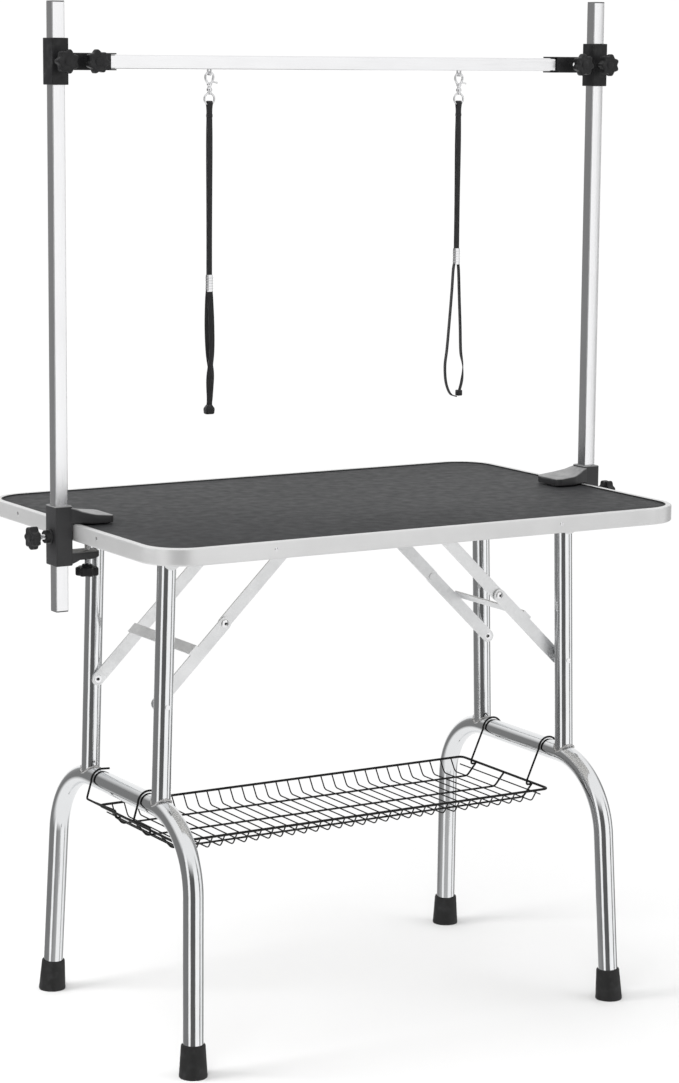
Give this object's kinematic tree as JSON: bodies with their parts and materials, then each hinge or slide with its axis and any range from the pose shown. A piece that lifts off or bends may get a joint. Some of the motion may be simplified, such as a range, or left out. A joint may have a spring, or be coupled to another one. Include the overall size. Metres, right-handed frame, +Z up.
{
  "type": "grooming table",
  "caption": "Folding pet grooming table with rubber mat top, hinged tube legs with folding braces, clamp-on overhead arm with nooses, and a hanging wire tray.",
  "frame": {"origin": "on the floor, under the middle of the table top", "axes": "+X along the length of the top to the right, +Y away from the front edge, +Z up"},
  "size_m": [1.0376, 0.6, 1.551],
  "materials": {
    "aluminium_band": "brushed anodised strip",
    "mat_rubber": "fine matt pebble texture",
    "plywood": "plain ply",
    "tube_steel": "polished stainless tube",
    "zinc_steel": "bright zinc plate",
    "chrome": "bright nickel chrome",
    "foot_rubber": "matt moulded rubber",
    "black_plastic": "fine grained moulding",
    "black_wire": "black dipped coating",
    "webbing": "woven nylon"
  },
  "bodies": {
    "table": {"tabletop_board": "plywood", "rubber_mat": "mat_rubber", "edge_band": "aluminium_band", "wire_tray": "black_wire", "left_leg_hinge_plate": "zinc_steel", "left_brace_hinge_plate": "zinc_steel", "left_front_pivot_bolt": "zinc_steel", "left_rear_pivot_bolt": "zinc_steel", "right_leg_hinge_plate": "zinc_steel", "right_brace_hinge_plate": "zinc_steel", "right_front_pivot_bolt": "zinc_steel", "right_rear_pivot_bolt": "zinc_steel"},
    "left_leg": {"left_leg_frame": "tube_steel", "left_front_foot": "foot_rubber", "left_front_lower_rivet": "zinc_steel", "left_rear_foot": "foot_rubber", "left_rear_lower_rivet": "zinc_steel", "left_tray_bail": "black_wire"},
    "left_upper_links": {"left_front_upper_link": "zinc_steel", "left_rear_upper_link": "zinc_steel"},
    "left_lower_links": {"left_lower_brace_yoke": "zinc_steel", "left_front_mid_rivet": "zinc_steel", "left_rear_mid_rivet": "zinc_steel"},
    "left_clamp_body": {"left_clamp": "black_plastic"},
    "left_lock_knob": {"left_clamp_lock_knob": "black_plastic"},
    "left_pad": {"left_clamp_pad": "foot_rubber"},
    "left_screw": {"left_clamp_screw": "black_plastic"},
    "left_post_tube": {"left_post": "tube_steel"},
    "left_post_lock": {"left_post_knob": "black_plastic"},
    "left_bar_lock": {"left_bar_knob": "black_plastic"},
    "left_snap": {"left_noose_snap": "chrome"},
    "left_noose": {"left_noose_eye": "chrome", "left_noose_strap": "webbing"},
    "left_slider": {"left_noose_slider": "chrome"},
    "right_leg": {"right_leg_frame": "tube_steel", "right_front_foot": "foot_rubber", "right_front_lower_rivet": "zinc_steel", "right_rear_foot": "foot_rubber", "right_rear_lower_rivet": "zinc_steel", "right_front_tray_hook": "black_wire", "right_rear_tray_hook": "black_wire"},
    "right_upper_links": {"right_front_upper_link": "zinc_steel", "right_rear_upper_link": "zinc_steel"},
    "right_lower_links": {"right_lower_brace_yoke": "zinc_steel", "right_front_mid_rivet": "zinc_steel", "right_rear_mid_rivet": "zinc_steel"},
    "right_clamp_body": {"right_clamp": "black_plastic"},
    "right_lock_knob": {"right_clamp_lock_knob": "black_plastic"},
    "right_pad": {"right_clamp_pad": "foot_rubber"},
    "right_screw": {"right_clamp_screw": "black_plastic"},
    "right_post_tube": {"right_post": "tube_steel"},
    "right_post_lock": {"right_post_knob": "black_plastic"},
    "right_bar_lock": {"right_bar_knob": "black_plastic"},
    "right_snap": {"right_noose_snap": "chrome"},
    "right_noose": {"right_noose_eye": "chrome", "right_noose_strap": "webbing"},
    "right_slider": {"right_noose_slider": "chrome"},
    "crossbar_set": {"crossbar": "tube_steel", "left_connector": "black_plastic", "right_connector": "black_plastic"}
  },
  "joints": [
    {"name": "left_leg_fold", "type": "hinge", "parent": "table", "child": "left_leg", "pos_m": [-0.35, 0, 0.743], "axis": [0, -1, 0], "range_deg": [0, 91.62]},
    {"name": "left_upper_brace_turn", "type": "hinge", "parent": "table", "child": "left_upper_links", "pos_m": [-0.132, 0, 0.743], "axis": [0, -1, 0], "range_deg": [-44.24, 0]},
    {"name": "left_lower_brace_turn", "type": "hinge", "parent": "left_leg", "child": "left_lower_links", "pos_m": [-0.35616, 0, 0.52509], "axis": [0, -1, 0], "range_deg": [0, 44.24]},
    {"name": "right_leg_fold", "type": "hinge", "parent": "table", "child": "right_leg", "pos_m": [0.35, 0, 0.743], "axis": [0, 1, 0], "range_deg": [0, 86.12]},
    {"name": "right_upper_brace_turn", "type": "hinge", "parent": "table", "child": "right_upper_links", "pos_m": [0.132, 0, 0.743], "axis": [0, 1, 0], "range_deg": [-43.15, 0]},
    {"name": "right_lower_brace_turn", "type": "hinge", "parent": "right_leg", "child": "right_lower_links", "pos_m": [0.35616, 0, 0.52509], "axis": [0, 1, 0], "range_deg": [0, 43.15]},
    {"name": "left_clamp_slide", "type": "slide", "parent": "table", "child": "left_clamp_body", "axis": [0, 1, 0], "range_m": [-0.17, 0.17]},
    {"name": "left_lock_knob_turn", "type": "hinge", "parent": "left_clamp_body", "child": "left_lock_knob", "pos_m": [-0.5, -0.008, 0.77], "axis": [-1, 0, 0], "range_deg": [0, 360]},
    {"name": "left_pad_travel", "type": "slide", "parent": "left_clamp_body", "child": "left_pad", "axis": [0, 0, 1], "range_m": [-0.004, 0]},
    {"name": "left_clamp_screw_turn", "type": "hinge", "parent": "left_pad", "child": "left_screw", "pos_m": [-0.425, -0.008, 0.714], "axis": [0, 0, 1], "range_deg": [0, 720.1]},
    {"name": "left_post_slide", "type": "slide", "parent": "left_clamp_body", "child": "left_post_tube", "axis": [0, 0, 1], "range_m": [-0.05, 0.04]},
    {"name": "right_clamp_slide", "type": "slide", "parent": "table", "child": "right_clamp_body", "axis": [0, 1, 0], "range_m": [-0.17, 0.17]},
    {"name": "right_lock_knob_turn", "type": "hinge", "parent": "right_clamp_body", "child": "right_lock_knob", "pos_m": [0.5, -0.008, 0.77], "axis": [1, 0, 0], "range_deg": [0, 360]},
    {"name": "right_pad_travel", "type": "slide", "parent": "right_clamp_body", "child": "right_pad", "axis": [0, 0, 1], "range_m": [-0.004, 0]},
    {"name": "right_clamp_screw_turn", "type": "hinge", "parent": "right_pad", "child": "right_screw", "pos_m": [0.425, -0.008, 0.714], "axis": [0, 0, 1], "range_deg": [0, 720.1]},
    {"name": "right_post_slide", "type": "slide", "parent": "right_clamp_body", "child": "right_post_tube", "axis": [0, 0, 1], "range_m": [-0.05, 0.04]},
    {"name": "crossbar_slide", "type": "slide", "parent": "left_post_tube", "child": "crossbar_set", "axis": [0, 0, 1], "range_m": [-0.08, 0.045]},
    {"name": "left_post_knob_turn", "type": "hinge", "parent": "crossbar_set", "child": "left_post_lock", "pos_m": [-0.47, -0.045, 1.453], "axis": [0, -1, 0], "range_deg": [0, 360]},
    {"name": "left_bar_knob_turn", "type": "hinge", "parent": "crossbar_set", "child": "left_bar_lock", "pos_m": [-0.422, -0.045, 1.453], "axis": [0, -1, 0], "range_deg": [0, 360]},
    {"name": "left_noose_swing", "type": "hinge", "parent": "crossbar_set", "child": "left_snap", "pos_m": [-0.222, -0.008, 1.4385], "axis": [1, 0, 0], "range_deg": [-60, 60]},
    {"name": "left_noose_spin", "type": "hinge", "parent": "left_snap", "child": "left_noose", "pos_m": [-0.222, -0.008, 1.4], "axis": [0, 0, 1], "range_deg": [-180, 180]},
    {"name": "left_noose_slider_slide", "type": "slide", "parent": "left_noose", "child": "left_slider", "axis": [0, 0, 1], "range_m": [0, 0.1]},
    {"name": "right_post_knob_turn", "type": "hinge", "parent": "crossbar_set", "child": "right_post_lock", "pos_m": [0.47, -0.045, 1.453], "axis": [0, -1, 0], "range_deg": [0, 360]},
    {"name": "right_bar_knob_turn", "type": "hinge", "parent": "crossbar_set", "child": "right_bar_lock", "pos_m": [0.422, -0.045, 1.453], "axis": [0, -1, 0], "range_deg": [0, 360]},
    {"name": "right_noose_swing", "type": "hinge", "parent": "crossbar_set", "child": "right_snap", "pos_m": [0.214, -0.008, 1.4385], "axis": [1, 0, 0], "range_deg": [-60, 60]},
    {"name": "right_noose_spin", "type": "hinge", "parent": "right_snap", "child": "right_noose", "pos_m": [0.214, -0.008, 1.4], "axis": [0, 0, 1], "range_deg": [-180, 180]},
    {"name": "right_noose_slider_slide", "type": "slide", "parent": "right_noose", "child": "right_slider", "axis": [0, 0, 1], "range_m": [0, 0.1]}
  ],
  "couplings": [
    {"joint": "left_upper_brace_turn", "follows": "left_leg_fold", "ratio": -0.48233},
    {"joint": "left_lower_brace_turn", "follows": "left_leg_fold", "ratio": 0.48233},
    {"joint": "right_upper_brace_turn", "follows": "right_leg_fold", "ratio": -0.50052},
    {"joint": "right_lower_brace_turn", "follows": "right_leg_fold", "ratio": 0.50052},
    {"joint": "left_clamp_screw_turn", "follows": "left_pad_travel", "rad_per_m": -3141.6},
    {"joint": "right_clamp_screw_turn", "follows": "right_pad_travel", "rad_per_m": -3141.6},
    {"joint": "right_clamp_slide", "follows": "left_clamp_slide", "ratio": 1},
    {"joint": "right_post_slide", "follows": "left_post_slide", "ratio": 1}
  ]
}
